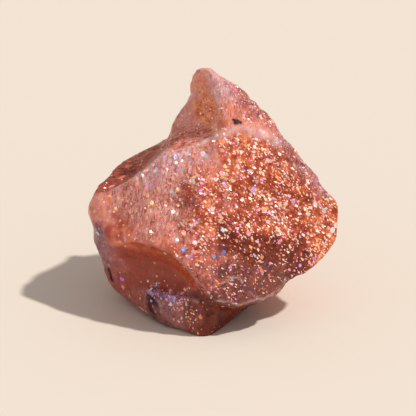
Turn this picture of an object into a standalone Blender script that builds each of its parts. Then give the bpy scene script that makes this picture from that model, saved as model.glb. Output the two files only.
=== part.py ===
"""A rough sunstone: one natural broken piece of feldspar, about 30 mm across.

Blender 4.5, metres, +Z up. The big sparkling face looks towards -Y and a little to +X. The origin
is under the middle of the stone, on the surface that it rests on.

The stone is drawn as the lines where its faces meet, in millimetres: ridges, the ledge, the lip of
the big face, the foot and the outline, with a few points that sink or crown the faces between them.
The lines are joined into one closed skin, which is then smoothed, given a broken surface, reduced
to flat facets, and cut off at the small flat spot it rests on.
"""

import bmesh
import bpy
import numpy as np
from mathutils import Vector

NAME = "sunstone"

# Driving dimensions, in millimetres
MM = 0.001
WIDTH = 30.0  # the finished stone from left to right
HEART = Vector((0.6, 1.2, 8.6))  # a point inside that every part of the skin faces
LINE_STEP = 0.9  # longest step along a drawn line
SAME_WAY = 0.02  # drawn points whose directions from the heart differ less than this are one point
SKIN_STEP = 0.42  # edge of the even skin before it is reduced
ROUNDING = 3  # passes that soften the drawn edges
SOFTNESS = 0.5  # share of the way to its neighbours that a point moves in one pass
FACETS = 9200  # triangles left at the end
FLAT_SNAP = 0.02  # what lies this close to the ground is part of the flat spot

# Broken surface: broad swells, then chips and small spalls, each with the size, tilt and hollowness of
# its bowls, then grain. The bowls' middles are scattered by a share of their size.
SWELL_SIZE = 6.0
SWELL_DEPTH = 0.35
CHIP_SIZE = 3.4
CHIP_TILT = 0.07
CHIP_BOWL = 0.08
SPALL_SIZE = 1.5
SPALL_TILT = 0.06
SPALL_BOWL = 0.06
GRAIN_SIZE = 0.9
GRAIN_DEPTH = 0.06
BOWL_SCATTER = 0.4

# The two cleavages of feldspar, nearly square to each other, show behind as flat treads and risers.
# A riser takes up a share of a step. The steps wander, are uneven, fade in where the surface squarely
# faces the cleavage, and come and go in patches.
CLEAVAGES = [(-0.62, 0.76, 0.20), (0.70, 0.66, 0.28)]
STEP_HEIGHT = 0.85
STEP_RISER = 0.22
STEP_WANDER_SIZE = 7.0
STEP_WANDER = 0.6
STEP_UNEVEN_SIZE = 2.6
STEP_UNEVEN = 1.3
STEP_FACING = 0.80
STEP_FADE = 0.10
STEP_PATCH_SIZE = 7.0
STEP_PATCH_CONTRAST = 2.0
STEP_PATCH_SHARE = 0.6

HIDDEN_FROM = -1.0  # behind here the stone is more broken
HIDDEN_FADE = 4.0
HIDDEN_ROUGHNESS = 1.8

LATTICE = 37  # cubes before the random numbers repeat, more than span the stone
SEEDS = {"swell": 11, "chip": 12, "spall": 13, "grain": 14, "wander": 15, "patch": 16, "uneven": 17}

STONE_COLOUR = (0.46, 0.16, 0.10, 1.0)
STONE_ROUGHNESS = 0.38

# The horn: its outline from left to right over the peak, the ridge down its front and its hollow
# left face
HORN_OUTLINE = [
    (-5.6, 2.2, 20.8), (-5.2, 1.6, 22.5), (-4.5, 1.1, 24.0), (-3.6, 0.7, 25.0), (-3.0, 0.5, 26.0),
    (-2.8, 0.3, 28.2), (-2.8, 0.1, 29.7), (-2.0, -0.4, 30.7), (-0.7, -0.8, 30.9), (0.2, -1.0, 30.6),
    (1.6, -0.6, 29.1), (2.9, 0.0, 28.3), (4.2, 0.5, 27.0), (5.8, 1.1, 25.1), (6.9, 0.9, 23.6),
    (7.9, 0.7, 21.9), (8.8, 0.2, 21.1),
]
HORN_RIDGE = [
    (-0.3, -1.7, 30.5), (0.5, -2.1, 29.7), (0.9, -2.4, 28.5), (1.3, -3.0, 26.0), (1.1, -3.4, 24.1),
    (0.7, -3.7, 23.3),
]
HORN_LEFT_FACE = [(-0.9, -0.9, 27.6), (-1.1, -0.7, 25.4), (-2.8, 0.2, 23.8)]
HORN_FOOT = [(-1.0, -1.4, 23.3), (-2.8, -0.4, 22.6), (-4.4, 0.8, 21.8)]
SADDLE = [(-0.1, -3.0, 22.5), (-1.8, -2.4, 21.8), (-3.7, -2.0, 21.2), (-5.4, -0.6, 20.5)]

# The ridge from the horn down to the left tip, and the slope behind it
LEFT_RIDGE = [
    (-0.1, -3.7, 22.8), (-1.0, -3.8, 22.6), (-2.0, -3.8, 22.2), (-3.4, -3.7, 21.7), (-4.6, -3.5, 21.0),
    (-5.9, -3.2, 20.6), (-6.6, -3.0, 19.8), (-7.2, -2.8, 18.9), (-8.3, -2.4, 18.0), (-8.6, -2.3, 17.2),
    (-10.0, -1.8, 16.7), (-10.8, -1.4, 15.9), (-11.9, -1.1, 15.2), (-13.8, -0.6, 14.3),
]
SHADED_SLOPE = [(-9.6, 1.4, 15.9), (-12.1, 1.0, 14.5), (-7.6, 1.2, 17.6)]
LEFT_TOP_EDGE = [
    (-14.0, 1.0, 14.6), (-12.2, 3.4, 15.9), (-10.8, 4.9, 16.5), (-9.0, 5.4, 17.0), (-7.4, 5.4, 17.5),
    (-6.2, 4.4, 18.6),
]
LEFT_TIP = [(-14.6, -1.1, 13.4), (-15.1, -0.8, 12.6), (-15.1, -0.6, 11.9)]

# The ledge, the lower edge of the upper mass, from the left tip to the lip of the big face
LEDGE = [
    (-14.7, -1.3, 11.5), (-14.3, -2.4, 11.0), (-13.2, -3.8, 10.0), (-12.4, -4.6, 9.7),
    (-11.3, -5.4, 10.3), (-10.2, -6.1, 10.7), (-8.6, -7.0, 11.0), (-7.2, -7.9, 11.0),
    (-6.2, -8.5, 10.8), (-5.4, -8.9, 10.7), (-4.6, -9.5, 10.1), (-3.6, -10.1, 9.3),
    (-2.9, -10.5, 8.7), (-2.3, -10.8, 8.0), (-1.7, -11.0, 7.5), (-0.6, -11.2, 6.8),
]

# The faces between the left ridge and the ledge, parted by a shallow groove
STRIPED_FACE = [(-11.4, -3.2, 12.6), (-8.2, -4.7, 14.5), (-6.4, -4.2, 18.2), (-6.4, -6.4, 13.4)]
GROOVE = [(-3.7, -4.6, 19.4), (-4.2, -5.2, 16.6), (-4.8, -6.9, 13.1), (-3.7, -9.0, 10.8)]
MIDDLE_FACE = [(-1.6, -6.1, 18.5), (-1.8, -7.8, 15.4), (-1.2, -9.2, 12.0), (-1.0, -10.2, 9.6)]
VEIN = [(0.1, -4.6, 22.4), (0.6, -5.2, 20.5), (1.3, -5.5, 18.8), (1.7, -6.1, 17.2), (1.4, -7.0, 15.6)]

# The big face: its upper ridge, its crown, its right edge and the lip that overhangs the foot
UPPER_RIDGE = [
    (2.5, -2.9, 24.0), (3.8, -2.4, 23.6), (5.2, -1.9, 23.3), (6.2, -1.6, 22.8), (7.1, -1.4, 22.2),
    (8.2, -1.2, 21.5),
]
BIG_FACE = [
    (6.8, -3.8, 17.3), (10.4, -4.0, 12.7), (5.6, -6.2, 13.1), (9.2, -6.1, 9.1), (4.4, -8.3, 10.1),
    (1.4, -9.5, 10.2), (3.2, -9.7, 8.2), (5.6, -9.0, 6.5),
]
RIGHT_EDGE = [
    (9.2, -0.6, 21.2), (10.4, -0.8, 19.3), (11.4, -0.8, 18.2), (12.6, -0.8, 16.8), (13.2, -1.2, 15.1),
    (14.6, -1.1, 13.9), (15.1, -1.1, 12.8), (15.1, -1.7, 11.6), (14.8, -2.4, 10.2), (15.1, -2.6, 9.5),
    (14.1, -3.7, 8.2), (13.2, -4.5, 7.5), (12.0, -5.5, 6.6), (11.0, -6.2, 6.2), (10.1, -6.7, 6.0),
    (9.1, -7.1, 5.7),
]
LIP = [
    (8.2, -7.9, 4.6), (7.2, -8.6, 4.4), (6.0, -9.4, 4.2), (4.6, -10.0, 4.6), (3.2, -10.8, 4.4),
    (2.0, -11.0, 4.7), (1.1, -11.2, 5.2), (0.2, -11.4, 5.9),
]
UNDERCUT = [
    (0.1, -9.5, 3.6), (1.1, -8.4, 2.9), (2.5, -7.4, 2.2), (4.2, -5.8, 1.9), (5.9, -4.2, 2.2),
    (8.0, -3.4, 3.8), (10.4, -2.3, 5.5), (12.6, -1.3, 7.4),
]

# The hollow under the ledge, and the foot below it
SCOOP = [
    (-3.4, -7.6, 7.0), (-4.9, -6.5, 7.6), (-6.4, -5.5, 7.7), (-7.8, -4.7, 7.5), (-9.7, -3.7, 7.2),
    (-11.4, -2.9, 6.9),
]
SCOOP_FLOOR = [
    (-2.2, -8.8, 5.3), (-4.0, -7.3, 5.4), (-5.8, -6.0, 5.4), (-7.6, -4.7, 5.0), (-9.5, -3.4, 4.6),
    (-11.2, -2.2, 3.8),
]
FOOT_TOP = [
    (-1.0, -10.4, 4.5), (-2.4, -9.9, 4.0), (-4.0, -9.2, 3.8), (-5.6, -8.2, 4.1), (-7.0, -7.5, 4.1),
    (-7.9, -6.7, 3.6),
]
FOOT_FRONT = [
    (0.4, -9.2, 2.4), (-0.6, -10.3, 2.2), (-1.8, -10.3, 1.9), (-3.7, -9.6, 2.0), (-5.6, -8.3, 2.2),
    (-7.6, -6.6, 1.7), (-9.0, -4.6, 1.4),
]
FOOT_RIM = [
    (5.3, -1.0, 0.5), (4.1, -2.8, 0.3), (2.8, -4.7, 0.1), (1.6, -7.0, 0.0), (0.2, -9.2, -0.1),
    (-0.6, -10.2, -0.1), (-1.6, -10.2, -0.1), (-3.6, -9.1, 0.1), (-5.4, -8.0, 0.2), (-6.7, -6.8, 0.3),
    (-8.0, -5.2, 0.5), (-9.2, -3.6, 0.6), (-10.6, -2.0, 0.8),
]
LEFT_EDGE = [
    (-14.5, -0.4, 10.5), (-14.4, -0.6, 9.4), (-14.5, -0.8, 8.2), (-14.2, -1.1, 6.9), (-13.4, -1.1, 5.2),
    (-13.0, -1.1, 3.6), (-12.4, -1.1, 2.3), (-11.5, -1.3, 1.4),
]

# The flat spot that the stone rests on, and the underside round it
FLAT_SPOT = [
    (-0.9, -9.6, -0.3), (1.8, -5.2, -0.3), (3.0, -0.5, -0.3), (1.4, 3.8, -0.3), (-2.6, 5.0, -0.3),
    (-6.2, 3.0, -0.3), (-7.2, -1.2, -0.3), (-4.6, -6.4, -0.3), (-0.9, -9.6, -0.3),
]
BACK_RIM = [
    (5.4, 2.6, 0.9), (3.6, 6.0, 1.0), (-0.4, 8.2, 1.1), (-4.6, 7.8, 1.1), (-8.2, 5.8, 1.2),
    (-10.0, 2.4, 1.1),
]
UNDERSIDE = [(-1.8, -1.0, -0.6)]

# The back: the corners where its broken faces meet, the ridges between them, and sunk places
BACK_CORNERS = {
    "crest top": (-1.1, 2.6, 29.3),
    "crest middle": (-0.5, 5.6, 25.2),
    "crest foot": (-1.8, 9.4, 18.0),
    "left shoulder": (-7.6, 9.9, 14.8),
    "left corner": (-12.4, 4.6, 13.4),
    "back corner": (0.8, 12.4, 11.2),
    "right top": (7.1, 3.4, 21.8),
    "right shoulder": (7.3, 7.8, 16.4),
    "right corner": (13.5, 2.6, 12.3),
    "right underside": (10.6, 4.0, 5.0),
    "right heel": (5.4, 8.8, 2.4),
    "back foot": (1.4, 11.5, 4.4),
    "left heel": (-5.0, 10.2, 2.8),
    "left underside": (-11.6, 4.4, 3.6),
}
BACK_RIDGES = [
    ("crest top", "crest middle", "crest foot", "left shoulder", "left corner", "left underside"),
    ("crest foot", "back corner", "right shoulder", "right top"),
    ("right shoulder", "right corner", "right underside", "right heel", "back foot"),
    ("back corner", "back foot", "left heel", "left underside"),
    ("left shoulder", "left heel"),
]
BACK_LEDGE = [
    (-13.6, 1.6, 9.8), (-12.9, 4.2, 9.3), (-11.2, 6.8, 8.2), (-9.2, 8.6, 7.6), (-7.0, 10.0, 8.0),
    (-4.4, 11.3, 7.4), (-1.6, 12.0, 7.2),
]
BACK_HOLLOWS = [
    (-5.0, 5.2, 19.4), (3.6, 5.4, 21.2), (6.6, 8.6, 9.4), (-10.2, 6.0, 11.4), (-3.4, 9.9, 11.2),
    (-8.4, 7.6, 5.2), (-2.2, 10.8, 4.9),
]

LINES = [
    HORN_OUTLINE, HORN_RIDGE, HORN_FOOT, SADDLE, LEFT_RIDGE, LEFT_TOP_EDGE, LEFT_TIP, LEDGE, GROOVE, VEIN,
    UPPER_RIDGE, RIGHT_EDGE, LIP, UNDERCUT, SCOOP, SCOOP_FLOOR, FOOT_TOP, FOOT_FRONT, FOOT_RIM, LEFT_EDGE,
    FLAT_SPOT, BACK_RIM, BACK_LEDGE,
]
LINES += [[BACK_CORNERS[name] for name in ridge] for ridge in BACK_RIDGES]
POINTS = [HORN_LEFT_FACE, SHADED_SLOPE, STRIPED_FACE, MIDDLE_FACE, BIG_FACE, UNDERSIDE, BACK_HOLLOWS]


def clear_scene():
    for old in list(bpy.data.objects):
        bpy.data.objects.remove(old, do_unlink=True)


def along(line):
    """The points of a drawn line, with more between them where they are far apart."""
    points = [Vector(p) for p in line]
    filled = [points[0]]
    for start, end in zip(points, points[1:]):
        steps = max(1, round((end - start).length / LINE_STEP))
        filled += [start.lerp(end, i / steps) for i in range(1, steps + 1)]
    return filled


def drawn_skin():
    """One closed skin through every drawn point, joined up as seen from the heart of the stone."""
    points = [p for line in LINES for p in along(line)]
    points += [Vector(p) for group in POINTS for p in group]
    bm = bmesh.new()
    place = bm.verts.layers.float_vector.new("place")
    for point in points:
        ray = (point - HEART).normalized()
        bm.verts.new(ray)[place] = point
    bmesh.ops.remove_doubles(bm, verts=bm.verts, dist=SAME_WAY)
    bmesh.ops.convex_hull(bm, input=bm.verts, use_existing_faces=False)
    for vert in bm.verts:
        vert.co = vert[place] * MM
    bmesh.ops.recalc_face_normals(bm, faces=bm.faces)
    mesh = bpy.data.meshes.new("skin")
    bm.to_mesh(mesh)
    bm.free()
    return mesh


def settled(stone):
    """Makes the stone's modifiers part of its mesh."""
    graph = bpy.context.evaluated_depsgraph_get()
    mesh = bpy.data.meshes.new_from_object(stone.evaluated_get(graph))
    stone.modifiers.clear()
    stone.data = mesh


def even_and_round(stone):
    """Gives the skin even faces and takes the hardness off the drawn edges."""
    remesh = stone.modifiers.new("even skin", "REMESH")
    remesh.mode = "VOXEL"
    remesh.voxel_size = SKIN_STEP * MM
    rounded = stone.modifiers.new("worn edges", "SMOOTH")
    rounded.factor = SOFTNESS
    rounded.iterations = ROUNDING
    settled(stone)


def lattice(size, points, seed, width):
    """Random numbers tied to the cubes of a lattice: each point's cube, and a lookup of its numbers."""
    table = np.random.default_rng(seed).uniform(-1.0, 1.0, (LATTICE, LATTICE, LATTICE, width))
    scaled = points / size
    cube = np.floor(scaled).astype(int)

    def numbers(step):
        x, y, z = ((cube + step) % LATTICE).T
        return table[x, y, z]

    return scaled - cube, numbers


def smooth_noise(points, size, seed):
    """Gentle ups and downs of about the given size, between about -0.7 and 0.7."""
    inside, numbers = lattice(size, points, seed, 3)
    ease = inside * inside * (3.0 - 2.0 * inside)
    total = np.zeros(len(points))
    for corner in np.ndindex(2, 2, 2):
        weight = np.where(corner, ease, 1.0 - ease).prod(axis=1)
        total += weight * (numbers(np.array(corner)) * (inside - corner)).sum(axis=1)
    return total


def scallops(points, size, tilt, bowl, seed):
    """A surface chipped into shallow tilted bowls that meet in sharp ridges, in units of size."""
    inside, numbers = lattice(size, points, seed, 6)
    lowest = np.full(len(points), np.inf)
    for step in np.ndindex(3, 3, 3):
        step = np.array(step) - 1
        drawn = numbers(step)
        middle = step + 0.5 + BOWL_SCATTER * drawn[:, :3]
        offset = inside - middle
        height = tilt * (offset * drawn[:, 3:]).sum(axis=1) + bowl * (offset * offset).sum(axis=1)
        lowest = np.minimum(lowest, height)
    return lowest - lowest.mean()


def cleavage_steps(points, normals, across):
    """How far to move each point along a cleavage direction, so that the surface breaks in flat treads."""
    across = np.array(across) / np.linalg.norm(across)
    depth = points @ across
    level = depth / STEP_HEIGHT + STEP_WANDER * smooth_noise(points, STEP_WANDER_SIZE, SEEDS["wander"])
    level += STEP_UNEVEN * smooth_noise(np.outer(depth, across), STEP_UNEVEN_SIZE, SEEDS["uneven"])
    tread = np.floor(level)
    riser = np.clip((level - tread - 0.5) / STEP_RISER + 0.5, 0.0, 1.0)
    facing = np.clip((normals @ across - STEP_FACING) / STEP_FADE, 0.0, 1.0)
    patch = STEP_PATCH_CONTRAST * smooth_noise(points, STEP_PATCH_SIZE, SEEDS["patch"]) + STEP_PATCH_SHARE
    patch = np.clip(patch, 0.0, 1.0)
    move = (tread + riser - level) * STEP_HEIGHT * facing * patch
    return move[:, None] * across


def broken_surface(mesh):
    """Moves the skin in and out: cleavage steps behind, broad swells, chips with ridges, and grain."""
    count = len(mesh.vertices)
    places = np.empty(count * 3)
    mesh.vertices.foreach_get("co", places)
    points = places.reshape(-1, 3) / MM
    normals = np.empty(count * 3)
    mesh.vertex_normals.foreach_get("vector", normals)
    normals = normals.reshape(-1, 3)
    behind = np.clip((points[:, 1] - HIDDEN_FROM) / HIDDEN_FADE, 0.0, 1.0)
    strength = 1.0 + (HIDDEN_ROUGHNESS - 1.0) * behind
    height = SWELL_DEPTH * smooth_noise(points, SWELL_SIZE, SEEDS["swell"])
    height += CHIP_SIZE * scallops(points, CHIP_SIZE, CHIP_TILT, CHIP_BOWL, SEEDS["chip"])
    height += SPALL_SIZE * scallops(points, SPALL_SIZE, SPALL_TILT, SPALL_BOWL, SEEDS["spall"])
    height = height * strength + GRAIN_DEPTH * smooth_noise(points, GRAIN_SIZE, SEEDS["grain"])
    steps = sum(cleavage_steps(points, normals, across) for across in CLEAVAGES)
    points = points + normals * height[:, None] + steps * behind[:, None]
    mesh.vertices.foreach_set("co", (points * MM).ravel())
    mesh.update()


def cut_flat_spot(stone):
    """Cuts the underside off level with the ground."""
    reach = 2 * WIDTH * MM
    bm = bmesh.new()
    bmesh.ops.create_cube(bm, size=reach)
    bmesh.ops.translate(bm, verts=bm.verts, vec=(0.0, 0.0, -reach / 2))
    block = bpy.data.meshes.new("ground")
    bm.to_mesh(block)
    bm.free()
    ground = bpy.data.objects.new("ground", block)
    ground.hide_render = True
    ground.display_type = "WIRE"
    bpy.context.scene.collection.objects.link(ground)
    cut = stone.modifiers.new("flat spot", "BOOLEAN")
    cut.object = ground
    cut.operation = "DIFFERENCE"
    settled(stone)
    bpy.data.objects.remove(ground, do_unlink=True)


def reduce_to_facets(stone):
    """Leaves about FACETS triangles, small where the surface bends and large where it is flat."""
    triangles = sum(len(face.vertices) - 2 for face in stone.data.polygons)
    reduce = stone.modifiers.new("facets", "DECIMATE")
    reduce.ratio = min(1.0, FACETS / triangles)
    reduce.use_collapse_triangulate = True
    settled(stone)
    bm = bmesh.new()
    bm.from_mesh(stone.data)
    bmesh.ops.beautify_fill(bm, faces=bm.faces, edges=bm.edges, method="ANGLE")
    for vert in bm.verts:
        if abs(vert.co.z) < FLAT_SNAP * MM:
            vert.co.z = 0.0
    bm.to_mesh(stone.data)
    bm.free()


def centre_and_size(mesh):
    """Brings the stone to its real width, with the origin under the middle of its box."""
    places = np.empty(len(mesh.vertices) * 3)
    mesh.vertices.foreach_get("co", places)
    places = places.reshape(-1, 3)
    low, high = places.min(axis=0), places.max(axis=0)
    centre = (low + high) / 2
    centre[2] = 0.0
    places = (places - centre) * (WIDTH * MM / (high[0] - low[0]))
    mesh.vertices.foreach_set("co", places.ravel())
    mesh.update()


def stone_material():
    material = bpy.data.materials.new("sunstone")
    material.use_nodes = True
    surface = material.node_tree.nodes["Principled BSDF"]
    surface.inputs["Base Color"].default_value = STONE_COLOUR
    surface.inputs["Roughness"].default_value = STONE_ROUGHNESS
    surface.inputs["Metallic"].default_value = 0.0
    return material


def main():
    clear_scene()
    stone = bpy.data.objects.new(NAME, drawn_skin())
    bpy.context.scene.collection.objects.link(stone)
    even_and_round(stone)
    broken_surface(stone.data)
    cut_flat_spot(stone)
    reduce_to_facets(stone)
    centre_and_size(stone.data)
    stone.data.materials.append(stone_material())


main()
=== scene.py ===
"""The looks of a rough sunstone that stands on a plain pale floor.

Blender 4.5, metres, +Z up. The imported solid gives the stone's form. Its skin is copied, made finer, and
given the fine relief of broken feldspar. One material shows the translucent orange to lilac ground and
the bright platelets inside it. Places and sizes on the stone are in millimetres.
"""

import math

import bpy
import numpy as np
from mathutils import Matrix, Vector


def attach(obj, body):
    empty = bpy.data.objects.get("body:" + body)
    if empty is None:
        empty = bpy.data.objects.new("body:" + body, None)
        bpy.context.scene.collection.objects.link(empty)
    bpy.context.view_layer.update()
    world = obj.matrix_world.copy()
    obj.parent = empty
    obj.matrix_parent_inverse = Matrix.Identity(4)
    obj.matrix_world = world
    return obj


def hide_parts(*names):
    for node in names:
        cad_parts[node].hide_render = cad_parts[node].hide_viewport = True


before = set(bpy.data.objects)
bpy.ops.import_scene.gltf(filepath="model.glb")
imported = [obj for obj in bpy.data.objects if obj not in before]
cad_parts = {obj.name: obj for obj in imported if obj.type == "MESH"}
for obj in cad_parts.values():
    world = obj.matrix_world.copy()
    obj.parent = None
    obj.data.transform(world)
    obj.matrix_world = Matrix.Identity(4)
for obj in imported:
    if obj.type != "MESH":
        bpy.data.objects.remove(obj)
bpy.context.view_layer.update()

NODE = "sunstone"
MM = 0.001

# Camera, measured in the photograph's own pixels: the place on the floor under the stone's middle, and
# how large a pixel is at the stone
PHOTO_SIDE = 416
PIXEL = 0.12 * MM
ORIGIN_PIXEL = (213.0, 298.0)
CAMERA_TILT = math.radians(25.0)
CAMERA_DISTANCE = 1.8
SENSOR = 36.0
NEAREST_SEEN = 0.01

# Light: a small sun from the right, and a pale surround
SUN_WAY = Vector((0.63, -0.17, 1.0))
SUN_SIZE = math.radians(3.0)
SUN_STRENGTH = 2.4
SUN_COLOUR = (1.0, 0.97, 0.93)
SKY_COLOUR = (1.0, 0.98, 0.96)
SKY_STRENGTH = 0.42
FLOOR_COLOUR = (0.85, 0.75, 0.65)
FLOOR_ROUGHNESS = 0.9
FLOOR_SIDE = 3.0
BACKDROP_COLOUR = (0.89, 0.76, 0.64)  # what the camera sees beyond the floor

# The fine skin
SKIN_STEP = 0.18
ROUNDING_STRENGTH = 0.5
ROUNDING_PASSES = 2
GROUND_FADE = 0.8  # below this height the relief fades out, so that the flat spot stays flat

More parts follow.
